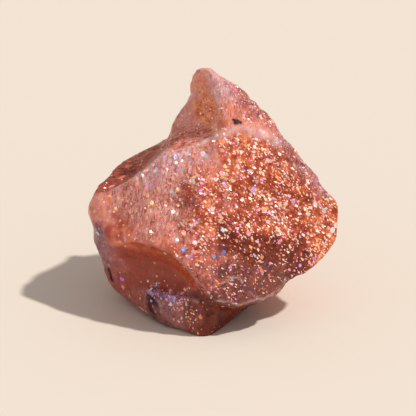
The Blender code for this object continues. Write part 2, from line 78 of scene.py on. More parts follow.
# What each area of the stone is like: the ground's tone from dark to pale and how much it varies, how much
# painted lilac sheen it has, how amber it is, how much painted violet sheen it has, how many platelets it
# shows and how many of them are cool in colour, the cool ones painted glints, how striped, wrinkled and
# faceted its skin is, and how many brown specks it has. Then the area's places
PLAIN = dict(tone=0.45, mottle=0.7, lilac_sheen=0.0, amber=0.0, violet_sheen=0.0, sparkle=0.0, cool=0.15, stripes=0.0,
             wrinkles=0.0, facets=0.8, specks=0.0)
YIELDS = "yields"  # how far an area draws back from its neighbours, in millimetres
AREAS = {
    "big face top": (
        dict(tone=0.48, mottle=0.5, lilac_sheen=0.1, amber=0.35, sparkle=1.0, cool=0.17),
        [(3.2, -3.9, 22.0), (2.6, -5.0, 19.9), (1.8, -4.7, 21.7), (5.0, -3.3, 21.1)]),
    "big face": (
        dict(tone=0.39, mottle=0.5, lilac_sheen=0.05, amber=0.3, sparkle=0.95, cool=0.17),
        [(6.8, -3.2, 19.7), (4.4, -5.1, 18.0), (7.4, -4.4, 16.3), (10.4, -3.5, 14.6), (5.6, -6.3, 14.0),
         (8.6, -5.6, 12.3), (7.6, -2.8, 20.2), (9.2, -2.9, 18.2), (11.0, -3.1, 15.8), (3.0, -7.4, 13.6),
         (3.2, -6.0, 17.1)]),
    "right tip": (
        dict(tone=0.46, amber=0.7, sparkle=0.95, cool=0.05),
        [(14.0, -2.7, 12.2), (13.4, -2.5, 13.5), (12.8, -3.7, 11.4), (12.5, -4.6, 9.9)]),
    "big face low": (
        dict(tone=0.19, mottle=0.5, amber=0.5, violet_sheen=0.03, sparkle=0.52, cool=0.2),
        [(2.0, -8.9, 11.9), (5.0, -8.5, 10.4), (8.0, -7.2, 9.7), (10.4, -6.0, 9.4)]),
    "big face foot": (
        dict(tone=0.13, mottle=0.5, lilac_sheen=0.05, amber=0.35, violet_sheen=0.04, sparkle=0.3, cool=0.35,
             stripes=0.1, wrinkles=0.3, facets=0.7),
        [(1.4, -10.7, 8.1), (3.8, -10.2, 7.2), (6.2, -8.9, 7.3), (3.2, -10.9, 6.0), (1.4, -11.3, 6.2)]),
    "grey patch": (
        dict(tone=0.46, mottle=0.8, lilac_sheen=0.5, sparkle=0.45, wrinkles=0.2, yields=1.5),
        [(2.3, -7.0, 15.8), (2.7, -6.9, 15.4), (1.8, -7.4, 15.4)]),
    "right shoulder": (
        dict(tone=0.28, mottle=0.9, lilac_sheen=0.7, violet_sheen=0.2, sparkle=0.45, cool=0.4, stripes=0.5,
             wrinkles=0.4, yields=0.5),
        [(8.6, -1.3, 20.9), (10.2, -1.6, 18.4), (11.9, -1.8, 16.1), (13.0, -1.6, 14.8)]),
    "middle face": (
        dict(tone=0.51, mottle=0.5, amber=0.35, sparkle=1.1, cool=0.36),
        [(-2.1, -6.5, 18.0), (-1.6, -8.4, 14.9), (-2.7, -8.7, 13.1), (-1.0, -9.3, 12.7), (-1.9, -9.9, 11.0),
         (-1.0, -6.3, 19.2)]),
    "middle face top": (
        dict(tone=0.66, mottle=0.6, lilac_sheen=0.5, amber=0.1, sparkle=0.3, cool=0.5, stripes=0.6, wrinkles=0.2),
        [(-1.6, -4.8, 21.1), (-2.1, -5.3, 20.0), (-0.7, -5.3, 20.7)]),
    "middle face edge": (
        dict(tone=0.37, mottle=0.9, lilac_sheen=0.35, amber=0.2, sparkle=0.4, stripes=0.2, wrinkles=0.4),
        [(-3.4, -7.3, 15.7), (-3.2, -10.2, 10.2), (-1.6, -11.0, 8.4), (-0.1, -11.2, 7.7),
         (0.2, -10.4, 9.7)]),
    "lilac face": (
        dict(tone=0.555, mottle=1.2, lilac_sheen=0.7, sparkle=0.5, cool=0.06, stripes=0.8, facets=0.6),
        [(-11.1, -2.6, 14.8), (-9.3, -3.4, 15.9), (-5.7, -5.3, 16.8), (-7.5, -5.4, 14.8),
         (-9.3, -5.1, 13.4), (-6.3, -7.1, 13.0), (-4.4, -7.0, 14.3), (-4.2, -8.4, 12.0)]),
    "lilac top": (
        dict(tone=0.73, mottle=1.0, lilac_sheen=1.0, violet_sheen=0.08, sparkle=1.1, cool=0.8, stripes=1.0),
        [(-7.5, -3.9, 17.4), (-6.3, -4.3, 18.9), (-5.7, -4.1, 19.9), (-4.9, -4.2, 20.2), (-6.6, -3.8, 19.2),
         (-3.7, -4.5, 20.6)]),
    "ledge face": (
        dict(tone=0.55, mottle=1.0, lilac_sheen=0.25, amber=0.2, sparkle=0.2, stripes=0.1, facets=0.4),
        [(-12.1, -4.4, 11.3), (-11.2, -5.2, 11.2), (-10.0, -5.6, 11.9), (-5.7, -8.5, 11.7),
         (-4.5, -9.1, 11.2)]),
    "ledge lilac": (
        dict(tone=0.55, mottle=1.0, lilac_sheen=0.65, sparkle=0.4, cool=0.12, stripes=0.5, facets=0.5),
        [(-8.5, -6.8, 12.0), (-7.8, -7.4, 11.8), (-7.0, -7.9, 11.8), (-6.3, -8.1, 11.9),
         (-8.1, -6.6, 12.5)]),
    "ledge pale": (
        dict(tone=0.76, mottle=0.5, lilac_sheen=0.35, sparkle=0.05, facets=0.3, yields=0.35),
        [(-10.1, -6.1, 11.3), (-9.8, -6.4, 11.2), (-10.4, -5.8, 11.4)]),
    "left tip": (
        dict(tone=0.7, mottle=1.0, lilac_sheen=0.4, violet_sheen=0.06, sparkle=0.2, facets=0.5),
        [(-14.1, -2.1, 13.0), (-13.3, -2.8, 12.7), (-12.3, -3.5, 12.2), (-14.3, -2.4, 12.1)]),
    # The low tone of this and the next slope area is painted shade: the horn's shadow on the slope
    "shaded slope": (
        dict(tone=0.42, mottle=0.5, sparkle=0.1, cool=0.0, wrinkles=0.5, facets=0.35),
        [(-7.5, 1.8, 17.7), (-8.7, 1.7, 16.8), (-6.3, 1.1, 19.2), (-8.0, -0.6, 17.8), (-6.7, 3.2, 18.1),
         (-5.7, 1.6, 19.9), (-8.9, 3.3, 17.0)]),
    "slope left": (
        dict(tone=0.29, mottle=0.5, lilac_sheen=0.05, sparkle=0.06, cool=0.0, wrinkles=0.4, facets=0.3),
        [(-10.2, 1.7, 15.9), (-11.4, 1.4, 15.2), (-12.6, 0.6, 14.5), (-10.0, -0.6, 16.0),
         (-10.1, 2.8, 16.2)]),
    "saddle": (
        dict(tone=0.53, mottle=0.5, lilac_sheen=0.05, sparkle=0.1, cool=0.2, wrinkles=1.3, facets=0.5),
        [(-1.0, -2.4, 23.2), (-2.2, -1.8, 22.5), (-3.3, -1.5, 22.0), (-4.5, -1.0, 21.2), (-5.1, -0.6, 20.8),
         (-1.6, -2.7, 22.4), (-3.0, -2.3, 21.7)]),
    "horn top": (
        dict(tone=0.73, mottle=0.9, lilac_sheen=0.15, amber=1.5, violet_sheen=0.1, cool=0.0, stripes=0.3, facets=0.4),
        [(-0.4, -2.0, 29.4), (-0.6, -1.4, 30.2), (-1.8, -0.8, 28.8)]),
    "horn left": (
        dict(tone=0.685, mottle=1.2, amber=1.9, sparkle=0.04, cool=0.0, facets=0.4, specks=1.3),
        [(-0.6, -1.9, 27.0), (-1.1, -1.5, 25.8), (-1.3, -1.4, 24.9), (-0.3, -2.4, 25.7), (-0.6, -2.2, 24.3),
         (-1.1, -1.3, 27.9)]),
    "horn left edge": (
        dict(tone=0.6, mottle=0.5, lilac_sheen=0.7, amber=0.5, violet_sheen=0.2, sparkle=0.06, stripes=0.2,
             wrinkles=0.2, facets=0.5),
        [(-2.7, 0.0, 27.2), (-3.6, 0.3, 24.7), (-4.7, 1.0, 22.8), (-3.0, -0.4, 23.8)]),
    "horn rim": (
        dict(tone=0.52, mottle=0.9, lilac_sheen=1.0, violet_sheen=0.32, sparkle=0.2, cool=0.7, stripes=1.0,
             wrinkles=0.8),
        [(0.1, -1.8, 30.4), (0.8, -2.1, 29.5), (2.0, -1.6, 28.2), (1.4, -2.4, 27.9), (0.4, -2.5, 28.6)]),
    "horn right": (
        dict(tone=0.5, mottle=0.6, lilac_sheen=0.4, amber=0.4, sparkle=0.28, stripes=0.4, facets=0.5),
        [(1.4, -2.9, 27.1), (2.6, -2.3, 25.9), (3.9, -2.1, 24.7), (5.1, -1.8, 23.8), (1.5, -3.5, 25.4)]),
    "right strip": (
        dict(tone=0.34, mottle=0.8, lilac_sheen=0.3, violet_sheen=0.1, sparkle=0.6, cool=0.2, stripes=0.3),
        [(3.2, -1.0, 27.4), (4.6, -0.4, 25.8), (5.8, -0.1, 24.4)]),
    "scoop": (
        dict(tone=0.345, mottle=0.25, violet_sheen=0.06, sparkle=0.015, cool=0.0, facets=0.12),
        [(-8.7, -4.6, 6.1), (-6.3, -6.3, 6.4), (-3.9, -8.0, 5.7), (-9.9, -4.0, 7.2), (-7.5, -5.5, 7.3),
         (-9.9, -3.6, 4.1), (-7.5, -5.5, 4.7), (-5.7, -7.3, 5.1)]),
    "scoop left": (
        dict(tone=0.4, mottle=0.6, lilac_sheen=0.35, violet_sheen=0.15, sparkle=0.03, cool=0.3, stripes=0.15,
             facets=0.3),
        [(-12.1, -3.0, 7.0), (-11.4, -3.2, 6.3), (-11.2, -3.0, 5.0)]),
    # Paler and more amber than the scoop: painted glow of light through the ledge
    "scoop roof glow": (
        dict(tone=0.4, mottle=0.4, amber=0.35, sparkle=0.02, cool=0.0, facets=0.2),
        [(-8.7, -6.9, 10.1), (-6.9, -8.0, 10.1), (-5.1, -8.9, 9.8), (-4.2, -9.2, 8.8), (-3.2, -8.6, 7.0)]),
    "left patch": (
        dict(tone=0.3, mottle=1.0, lilac_sheen=1.0, violet_sheen=0.5, sparkle=0.06, cool=1.0, wrinkles=0.2, facets=0.5),
        [(-13.9, -3.2, 10.2), (-13.6, -2.9, 9.0), (-13.3, -2.2, 7.4), (-12.8, -2.3, 6.4)]),
    "foot left": (
        dict(tone=0.38, mottle=0.6, lilac_sheen=0.3, violet_sheen=0.2, sparkle=0.06, cool=0.3, facets=0.5),
        [(-9.3, -4.5, 1.9), (-8.4, -6.0, 1.3), (-10.5, -2.8, 2.1), (-11.4, -2.3, 2.7)]),
    "foot violet": (
        dict(tone=0.26, lilac_sheen=1.0, violet_sheen=0.4, sparkle=1.5, cool=1.2, facets=1.0),
        [(-7.2, -7.1, 4.3), (-6.3, -8.1, 4.4), (-5.4, -8.6, 4.3), (-4.4, -9.2, 4.2)]),
    # Painted shade low on the foot, near the floor
    "foot shade": (
        dict(tone=0.13, mottle=0.6, lilac_sheen=0.6, violet_sheen=0.25, sparkle=0.08, cool=0.8, facets=0.7, yields=0.3),
        [(-7.8, -6.8, 1.8), (-7.2, -7.4, 1.8), (-6.7, -8.0, 1.8), (-7.3, -7.3, 0.9), (-7.0, -7.9, 2.4)]),
    "foot grey": (
        dict(tone=0.27, lilac_sheen=0.5, violet_sheen=0.4, sparkle=0.12, cool=0.0, wrinkles=0.5, facets=0.5),
        [(-5.7, -8.8, 3.1), (-4.9, -9.3, 2.6), (-3.9, -10.0, 2.1), (-4.4, -9.6, 3.5), (-6.2, -8.4, 2.6),
         (-4.2, -9.6, 1.4)]),
    "foot sparks": (
        dict(tone=0.24, mottle=0.6, lilac_sheen=0.3, violet_sheen=0.1, sparkle=0.25, cool=0.0, facets=0.6),
        [(-3.2, -10.2, 2.5), (-3.0, -10.3, 1.7), (-2.5, -10.4, 3.4), (-2.0, -10.7, 2.7)]),
    # Partly the stone's dark red-brown, partly painted shade under the lip
    "foot right": (
        dict(tone=0.12, mottle=0.5, amber=0.1, sparkle=0.03, cool=0.0),
        [(-0.4, -10.9, 4.3), (0.2, -10.3, 2.6), (1.4, -9.3, 2.8), (-0.4, -10.8, 1.6), (2.3, -9.1, 2.7),
         (3.8, -8.8, 3.0)]),
    "right underside": (
        dict(tone=0.36, lilac_sheen=0.2, amber=0.1, sparkle=0.25, stripes=0.2, wrinkles=0.3),
        [(10.0, -2.0, 5.6), (10.6, 3.4, 5.0), (6.0, 2.0, 2.0), (5.4, 8.2, 2.4)]),
    "back right": (
        dict(tone=0.44, mottle=0.9, lilac_sheen=0.1, amber=0.3, sparkle=0.85),
        [(9.4, 4.6, 13.0), (6.6, 8.0, 9.4), (4.4, 8.6, 14.0), (11.4, 3.0, 10.0)]),
    "back top": (
        dict(tone=0.6, lilac_sheen=0.5, amber=0.2, sparkle=0.4, cool=0.4, stripes=0.6, wrinkles=0.2),
        [(3.6, 4.8, 21.2), (1.2, 3.0, 26.6), (6.6, 3.0, 19.8)]),
    "back left": (
        dict(tone=0.48, lilac_sheen=0.4, amber=0.1, sparkle=0.3, stripes=0.6, wrinkles=0.3),
        [(-5.0, 4.8, 19.4), (-3.4, 7.4, 16.6), (-7.4, 6.8, 15.4)]),
    "back foot": (
        dict(tone=0.4, lilac_sheen=0.15, amber=0.25, sparkle=0.35, stripes=0.1),
        [(-10.2, 5.6, 11.4), (-3.4, 9.4, 11.2), (0.8, 11.0, 8.0), (-6.0, 8.2, 6.0)]),
    "left foot": (
        dict(tone=0.38, mottle=0.6, lilac_sheen=0.15, sparkle=0.12, stripes=0.2),
        [(-12.4, 2.6, 7.6), (-11.4, 3.8, 3.6), (-8.4, 7.0, 3.0)]),
}
AREA_BLEND = 0.42  # how softly neighbouring areas run into each other
AREA_WANDER = 0.8  # how far their borders stray
AREA_WANDER_SIZE = 1.6

# Creases: ridges, rims, veins, cracks and grooves. How wide, pale and high each is, and its course. Their
# paleness is partly pale veins and partly painted highlight on the ridges and thin rims
CREASES = {
    "pale ridge": (0.60, 0.70, 0.06, [
        (-1.9, -3.5, 22.0), (-0.7, -3.6, 22.5), (0.7, -4.1, 23.3), (1.7, -3.9, 23.7), (2.6, -3.5, 24.0),
        (4.0, -2.8, 23.7), (5.2, -2.3, 23.1), (6.6, -2.1, 22.4), (7.7, -1.9, 21.4)]),
    "left ridge": (0.22, 0.45, 0.08, [
        (-11.7, -1.3, 15.2), (-10.5, -1.9, 16.2), (-9.0, -2.8, 17.2), (-8.5, -2.8, 17.7), (-7.3, -2.6, 18.8),
        (-6.0, -2.7, 20.2), (-4.8, -3.4, 20.8), (-3.6, -3.7, 21.5), (-1.9, -3.5, 22.0)]),
    "vein_and_highlight": (0.22, 0.38, 0.05, [
        (0.1, -4.7, 22.4), (0.6, -5.5, 20.5), (1.3, -6.0, 18.9), (1.7, -6.6, 17.2), (1.4, -7.4, 15.8)]),
    "groove": (0.55, 0.0, -0.12, [
        (-3.2, -4.3, 21.3), (-3.7, -5.1, 19.4), (-4.2, -5.8, 16.9), (-4.4, -6.4, 15.3), (-4.8, -7.5, 13.3),
        (-4.2, -8.6, 12.0)]),
    "ledge rim": (0.16, 0.28, 0.10, [
        (-11.5, -5.6, 9.9), (-10.4, -6.3, 10.5), (-9.0, -7.2, 10.9), (-7.5, -8.1, 11.1), (-6.3, -8.8, 10.9),
        (-5.1, -9.4, 10.7), (-4.4, -9.9, 10.1), (-3.5, -10.5, 9.5), (-2.7, -10.8, 8.5), (-1.9, -10.9, 7.4),
        (-1.0, -11.0, 6.4), (-0.2, -11.6, 5.6), (0.5, -11.5, 5.1)]),
    "under the ledge": (0.45, 0.0, -0.22, [
        (-10.4, -5.6, 9.6), (-8.7, -6.7, 10.0), (-6.9, -7.9, 10.0), (-5.3, -8.8, 9.6), (-4.0, -9.5, 8.6),
        (-2.6, -10.0, 7.0)]),
    "lip": (0.18, 0.45, 0.10, [
        (0.5, -11.5, 5.1), (1.7, -11.5, 4.9), (3.0, -11.3, 4.5), (3.8, -10.9, 4.5), (5.0, -10.3, 4.5),
        (6.2, -9.7, 4.5), (6.9, -9.1, 4.6), (8.0, -8.4, 5.0), (8.8, -7.6, 6.0)]),
    "low crack": (0.11, 0.75, 0.05, [(2.1, -10.6, 7.7), (3.2, -10.4, 7.6), (3.6, -10.4, 7.0)]),
    "lip crack": (0.11, 0.70, 0.05, [(4.4, -10.4, 5.8), (4.9, -10.3, 5.1), (5.5, -10.0, 4.7)]),
    "side crack": (0.11, 0.60, 0.04, [(1.1, -11.1, 7.1), (1.8, -10.8, 7.5), (2.1, -10.6, 7.7)]),
    "foot edge": (0.22, 0.25, 0.22, [
        (-7.8, -5.9, 3.8), (-7.2, -7.1, 4.2), (-6.3, -7.9, 4.5), (-5.1, -8.5, 4.4), (-3.9, -9.1, 4.5),
        (-2.9, -9.6, 4.5), (-1.9, -10.3, 4.6)]),
    "over the foot": (0.40, 0.0, -0.18, [
        (-7.9, -5.8, 4.6), (-6.6, -7.0, 5.0), (-5.4, -7.8, 5.1), (-4.0, -8.6, 5.1), (-2.8, -9.2, 5.1)]),
    "foot line": (0.14, 0.60, 0.05, [(-6.6, -8.2, 3.6), (-6.3, -8.4, 2.7), (-6.2, -8.4, 2.0)]),
    "horn crest": (0.25, 0.50, 0.08, [
        (-0.1, -2.2, 30.0), (0.2, -2.4, 28.8), (0.5, -2.7, 27.4), (0.6, -3.2, 25.6), (0.1, -3.4, 24.0)]),
}
CREASE_WANDER = 0.35
CREASE_WANDER_SIZE = 0.9

# Dark inclusions: how far each reaches from its course, and the course
SOOT = {
    "black patch": (0.76, [(-7.8, -6.7, 3.3), (-7.4, -7.4, 3.1), (-7.0, -7.9, 3.0)]),
    "black patch foot": (0.62, [(-7.6, -7.1, 2.5), (-7.4, -7.3, 1.9)]),
    "outline spot": (0.30, [(-12.5, -2.0, 4.7), (-12.2, -2.0, 3.9), (-12.1, -2.0, 3.3)]),
    "speck": (0.42, [(2.75, -3.02, 24.75), (2.95, -2.95, 24.62)]),
    "speck points": (0.20, [(2.35, -3.15, 24.95), (3.35, -2.82, 24.42)]),
}
SOOT_WANDER = 0.9  # how far their borders stray and how large the bends are, counted in their reach
SOOT_BEND_LEAST = 0.2
SOOT_EDGE = 1.8  # how sharp their borders are

# Crimson stains: how wide each is, and its course
STAINS = {
    "tip stain": (0.55, [(-11.7, -3.5, 12.8), (-11.5, -3.8, 12.5), (-11.0, -4.5, 12.1)]),
    "under the tip": (0.60, [(-12.7, -4.1, 11.2), (-12.7, -4.3, 10.8), (-12.5, -4.7, 10.4)]),
    "ledge stain": (0.34, [(-11.0, -5.5, 11.1), (-10.9, -5.9, 10.7), (-10.7, -6.1, 10.3)]),
    "hollow stain": (0.40, [(-10.9, -5.1, 9.0), (-10.6, -4.9, 8.7)]),
    "middle stain": (0.40, [(-3.0, -6.6, 16.6), (-2.9, -6.8, 16.2)]),
}
STAIN_WANDER = 1.1  # how far their borders stray, counted in their width
STAIN_WANDER_SIZE = 1.2

# Single bright platelets that stand out, their flash of light painted into their colour as painted glints:
# how much each kind is drawn in along the three axes, and each one's place, half size and colour
GLINTS = {
    "standing": ((1.0, 0.45, 0.9), [
        ((-10.9, -2.7, 3.8), 0.26, (0.80, 0.20, 0.85)),
        ((-10.8, -2.7, 2.7), 0.22, (1.00, 0.36, 0.16)),
        ((-6.8, -3.9, 18.7), 0.27, (0.80, 0.92, 1.00)),
        ((-8.4, -3.1, 17.6), 0.20, (0.86, 0.84, 1.00)),
        ((-5.2, -3.6, 20.7), 0.20, (1.00, 0.46, 0.16)),
        ((-4.5, -4.2, 20.5), 0.18, (0.55, 0.72, 1.00)),
        ((-4.4, -4.6, 20.0), 0.18, (0.80, 0.90, 1.00)),
        ((-3.7, -4.7, 20.3), 0.18, (0.80, 0.95, 1.00)),
        ((-1.2, -4.8, 21.3), 0.26, (1.00, 0.50, 0.56)),
        ((-7.3, -5.4, 15.1), 0.22, (1.00, 0.50, 0.20)),
        ((-7.8, -4.8, 15.8), 0.22, (1.00, 0.38, 0.18)),
        ((-11.3, -2.7, 14.5), 0.18, (1.00, 0.44, 0.20)),
        ((-11.6, -3.2, 13.3), 0.18, (1.00, 0.46, 0.16)),
        ((-3.5, -8.5, 12.6), 0.27, (0.78, 0.22, 0.17)),
        ((-2.2, -9.5, 11.8), 0.24, (0.90, 0.36, 0.32)),
        ((-3.5, -9.5, 10.9), 0.22, (0.16, 0.34, 1.00)),
        ((-4.2, -5.7, 17.0), 0.18, (1.00, 0.44, 0.18)),
        ((-4.2, -6.5, 15.3), 0.16, (1.00, 0.60, 0.26)),
        ((4.8, -5.4, 16.8), 0.30, (0.85, 0.50, 1.00)),
        ((13.3, -2.7, 12.9), 0.20, (0.40, 0.85, 1.00)),
        ((14.3, -3.3, 10.5), 0.30, (1.00, 0.96, 0.90)),
        ((1.3, -9.6, 10.6), 0.20, (0.14, 0.30, 1.00)),
        ((0.1, -10.1, 10.2), 0.18, (0.22, 0.50, 1.00)),
        ((12.1, -5.5, 7.8), 0.20, (0.90, 0.25, 0.85)),
        ((10.4, -6.6, 7.4), 0.18, (0.80, 0.50, 1.00)),
        ((-13.8, -3.2, 10.0), 0.24, (0.50, 0.60, 1.00)),
        ((-7.8, -6.2, 3.8), 0.22, (0.60, 0.36, 1.00)),
        ((-7.4, -7.0, 4.0), 0.20, (0.66, 0.42, 1.00)),
        ((-7.4, -7.4, 3.1), 0.16, (0.56, 0.34, 0.95)),
        ((-6.3, -8.1, 4.3), 0.22, (0.62, 0.40, 1.00)),
        ((-5.9, -8.4, 4.3), 0.18, (0.70, 0.50, 1.00)),
        ((-5.4, -8.6, 4.2), 0.20, (0.62, 0.42, 1.00)),
        ((-4.9, -8.9, 4.2), 0.16, (0.76, 0.48, 1.00)),
        ((-6.2, -8.4, 3.9), 0.13, (1.00, 0.84, 0.62)),
    ]),
    "small": ((1.0, 0.8, 1.0), [
        ((-3.2, -10.2, 2.3), 0.15, (1.00, 0.68, 0.34)),
        ((-3.8, -10.0, 2.0), 0.13, (1.00, 0.68, 0.34)),
        ((-2.7, -10.4, 2.2), 0.14, (1.00, 0.68, 0.34)),
        ((-2.0, -10.8, 2.3), 0.15, (1.00, 0.68, 0.34)),
        ((-1.4, -10.9, 2.4), 0.12, (1.00, 0.42, 0.50)),
        ((-2.6, -10.3, 3.7), 0.13, (1.00, 0.68, 0.34)),
        ((-1.8, -10.5, 4.4), 0.12, (1.00, 0.48, 0.22)),
        ((-1.2, -10.8, 4.5), 0.12, (1.00, 0.46, 0.54)),
        ((-0.7, -10.6, 3.5), 0.12, (1.00, 0.44, 0.24)),
        ((-4.1, -9.7, 1.5), 0.17, (1.00, 0.46, 0.26)),
        ((-3.1, -10.2, 3.0), 0.13, (1.00, 0.62, 0.26)),
        ((-2.3, -10.6, 3.2), 0.12, (1.00, 0.50, 0.42)),
        ((-3.6, -10.0, 3.3), 0.12, (1.00, 0.56, 0.30)),
        ((-6.8, -7.6, 4.4), 0.15, (0.62, 0.42, 1.00)),
        ((-5.7, -8.5, 4.2), 0.14, (0.92, 0.80, 0.62)),
        ((-5.1, -8.9, 4.0), 0.14, (0.80, 0.52, 1.00)),
        ((-4.7, -8.9, 4.3), 0.15, (0.70, 0.44, 1.00)),
        ((-4.2, -9.5, 4.0), 0.13, (0.84, 0.40, 0.90)),
    ]),
    "lying": ((0.60, 1.20, 0.60), [
        ((-10.1, 2.8, 16.2), 0.27, (1.00, 0.34, 0.18)),
        ((-10.9, 1.3, 15.4), 0.26, (1.00, 0.32, 0.20)),
        ((-8.9, 3.3, 17.0), 0.18, (0.95, 0.34, 0.22)),
        ((-4.2, -1.8, 21.2), 0.24, (1.00, 0.36, 0.24)),
        ((-7.8, 3.6, 17.7), 0.24, (0.90, 0.32, 0.22)),
        ((-12.1, 0.5, 14.6), 0.22, (1.00, 0.50, 0.40)),
    ]),
}

# Directions along and across which the skin is striped and wrinkled
STRIPES_ALONG = Vector((0.18, 0.47, 0.86)).normalized()
STRIPES_ACROSS = Vector((1.0, 0.25, -0.35)).normalized()
WRINKLES_ALONG = Vector((0.85, -0.35, 0.40)).normalized()
WRINKLES_ACROSS = Vector((-0.2, 0.8, 0.65)).normalized()

# Relief: the size, tilt and hollow of the chips, and how high and how large the grain is
CHIPS = [(0.9, 0.06, 0.08), (0.45, 0.08, 0.08)]
CHIP_STRAY = 0.4  # how far a chip's middle lies from the middle of its cube
GRAIN_HEIGHT = 0.025
GRAIN_SIZE = 0.42
# How far the skin is sunk everywhere, and where it is striped or wrinkled, to stay in the solid's box
SKIN_SUNK = 0.04
STRIPES_SUNK = 0.06
WRINKLES_SUNK = 0.07

# Ribs: how high and how far apart they are
STRIPE_HEIGHT = 0.11
STRIPE_SPACING = 0.62
WRINKLE_HEIGHT = 0.13
WRINKLE_SPACING = 0.70
RIB_CREST = 0.72  # where each rib's crest stands between its two furrows
# How ribs bend and how uneven their spacing is: by how much and over what length, counted in ribs
RIB_BENDS = [(0.8, 5.0), (0.35, 1.6)]
RIB_UNEVEN = (1.1, 2.5)

# How creases fade in and out along their course: their middle strength, how much it changes and over
# what length, and its limits
CREASE_STRENGTH = 0.75
CREASE_CHANGE = 1.2
CREASE_CHANGE_SIZE = 0.8
CREASE_LIMITS = (0.15, 1.2)

SEEDS = dict(areas=21, chips=31, grain=33, stripes=41, wrinkles=51, creases=61, fading=64, soot=67,
             stains=71)
LATTICE = 61  # cubes before the random numbers repeat

UP = Vector((0.0, 0.0, 1.0))
RIGHT = Vector((1.0, 0.0, 0.0))
HALF = (0.5, 0.5, 0.5)  # the middle of three random numbers


def lattice(size, points, seed, width):
    """Random numbers tied to the cubes of a lattice: each point's cube, and a lookup of its numbers."""
    table = np.random.default_rng(seed).uniform(-1.0, 1.0, (LATTICE, LATTICE, LATTICE, width))
    scaled = points / size
    cube = np.floor(scaled).astype(int)

    def numbers(step):
        x, y, z = ((cube + step) % LATTICE).T
        return table[x, y, z]

    return scaled - cube, numbers


def smooth_noise(points, size, seed):
    """Gentle ups and downs of about the given size, between about -0.7 and 0.7."""
    inside, numbers = lattice(size, points, seed, 3)
    ease = inside * inside * (3.0 - 2.0 * inside)
    total = np.zeros(len(points))
    for corner in np.ndindex(2, 2, 2):
        weight = np.where(corner, ease, 1.0 - ease).prod(axis=1)
        total += weight * (numbers(np.array(corner)) * (inside - corner)).sum(axis=1)
    return total


def strayed(points, size, distance, seed):
    """The points moved to and fro, so that what is measured from them has a wandering border."""
    return points + distance * np.stack([smooth_noise(points, size, seed + i) for i in range(3)], axis=1)


def scallops(points, size, tilt, bowl, seed):
    """A surface chipped into shallow tilted bowls that meet in sharp ridges, in units of size."""
    inside, numbers = lattice(size, points, seed, 6)
    lowest = np.full(len(points), np.inf)
    for step in np.ndindex(3, 3, 3):
        step = np.array(step) - 1
        drawn = numbers(step)
        offset = inside - (step + 0.5 + CHIP_STRAY * drawn[:, :3])
        height = tilt * (offset * drawn[:, 3:]).sum(axis=1) + bowl * (offset * offset).sum(axis=1)
        lowest = np.minimum(lowest, height)
    return lowest - lowest.mean()


def line_distance(points, line):
    """Each point's distance to a line through the given places."""
    nearest = np.full(len(points), np.inf)
    for start, end in zip(line, line[1:]):
        start = np.array(start)
        run = np.array(end) - start
        along = np.clip((points - start) @ run / (run @ run), 0.0, 1.0)
        nearest = np.minimum(nearest, np.linalg.norm(points - start - along[:, None] * run, axis=1))
    return nearest


def nearness(points, line, width):
    """1 on the line, falling softly to 0 within about twice the width beside it."""
    return np.exp(-(line_distance(points, line) / width) ** 2)


def area_values(points):
    """What the stone is like at each point, blended between the nearest areas."""
    moved = strayed(points, AREA_WANDER_SIZE, AREA_WANDER, SEEDS["areas"])
    reach = []
    for values, places in AREAS.values():
        nearest = np.min([np.linalg.norm(moved - place, axis=1) for place in places], axis=0)
        reach.append(nearest + values.get(YIELDS, 0.0))
    reach = np.stack(reach)
    share = np.exp((reach.min(axis=0) - reach) / AREA_BLEND)
    share /= share.sum(axis=0)
    return {
        name: np.array([values.get(name, plain) for values, _ in AREAS.values()]) @ share
        for name, plain in PLAIN.items()
    }


def fine_skin(source):
    """A copy of the solid's skin with even fine faces."""
    stone = bpy.data.objects.new("stone", source.data.copy())
    bpy.context.scene.collection.objects.link(stone)
    remesh = stone.modifiers.new("fine skin", "REMESH")
    remesh.mode = "VOXEL"
    remesh.voxel_size = SKIN_STEP * MM
    rounded = stone.modifiers.new("rounding", "SMOOTH")
    rounded.factor = ROUNDING_STRENGTH
    rounded.iterations = ROUNDING_PASSES
    mesh = bpy.data.meshes.new_from_object(stone.evaluated_get(bpy.context.evaluated_depsgraph_get()))
    stone.modifiers.clear()
    stone.data = mesh
    mesh.shade_smooth()
    return stone


def ribs(points, across, size, seed):
    """Uneven parallel ribs across a direction, with a sharp crest and a long back, between 0 and 1."""
    across = np.array(across)
    level = points @ across
    depth = level / size
    for number, (amount, length) in enumerate(RIB_BENDS):
        depth = depth + amount * smooth_noise(points, length * size, seed + number)
    amount, length = RIB_UNEVEN
    depth = depth + amount * smooth_noise(np.outer(level, across), length * size, seed + len(RIB_BENDS))
    phase = depth - np.floor(depth)
    return np.where(phase < RIB_CREST, phase / RIB_CREST, (1.0 - phase) / (1.0 - RIB_CREST))


def relief(points, values):
    """How far each point stands out of the plain skin, in millimetres."""
    rough = np.zeros(len(points))
    for number, (size, tilt, bowl) in enumerate(CHIPS):
        rough += size * scallops(points, size, tilt, bowl, SEEDS["chips"] + number)
    rough += GRAIN_HEIGHT * smooth_noise(points, GRAIN_SIZE, SEEDS["grain"])
    stripes = STRIPE_HEIGHT * ribs(points, STRIPES_ACROSS, STRIPE_SPACING, SEEDS["stripes"])
    wrinkles = WRINKLE_HEIGHT * ribs(points, WRINKLES_ACROSS, WRINKLE_SPACING, SEEDS["wrinkles"])
    height = values["facets"] * rough - SKIN_SUNK
    height += values["stripes"] * (stripes - STRIPES_SUNK)
    height += values["wrinkles"] * (wrinkles - WRINKLES_SUNK)
    return height


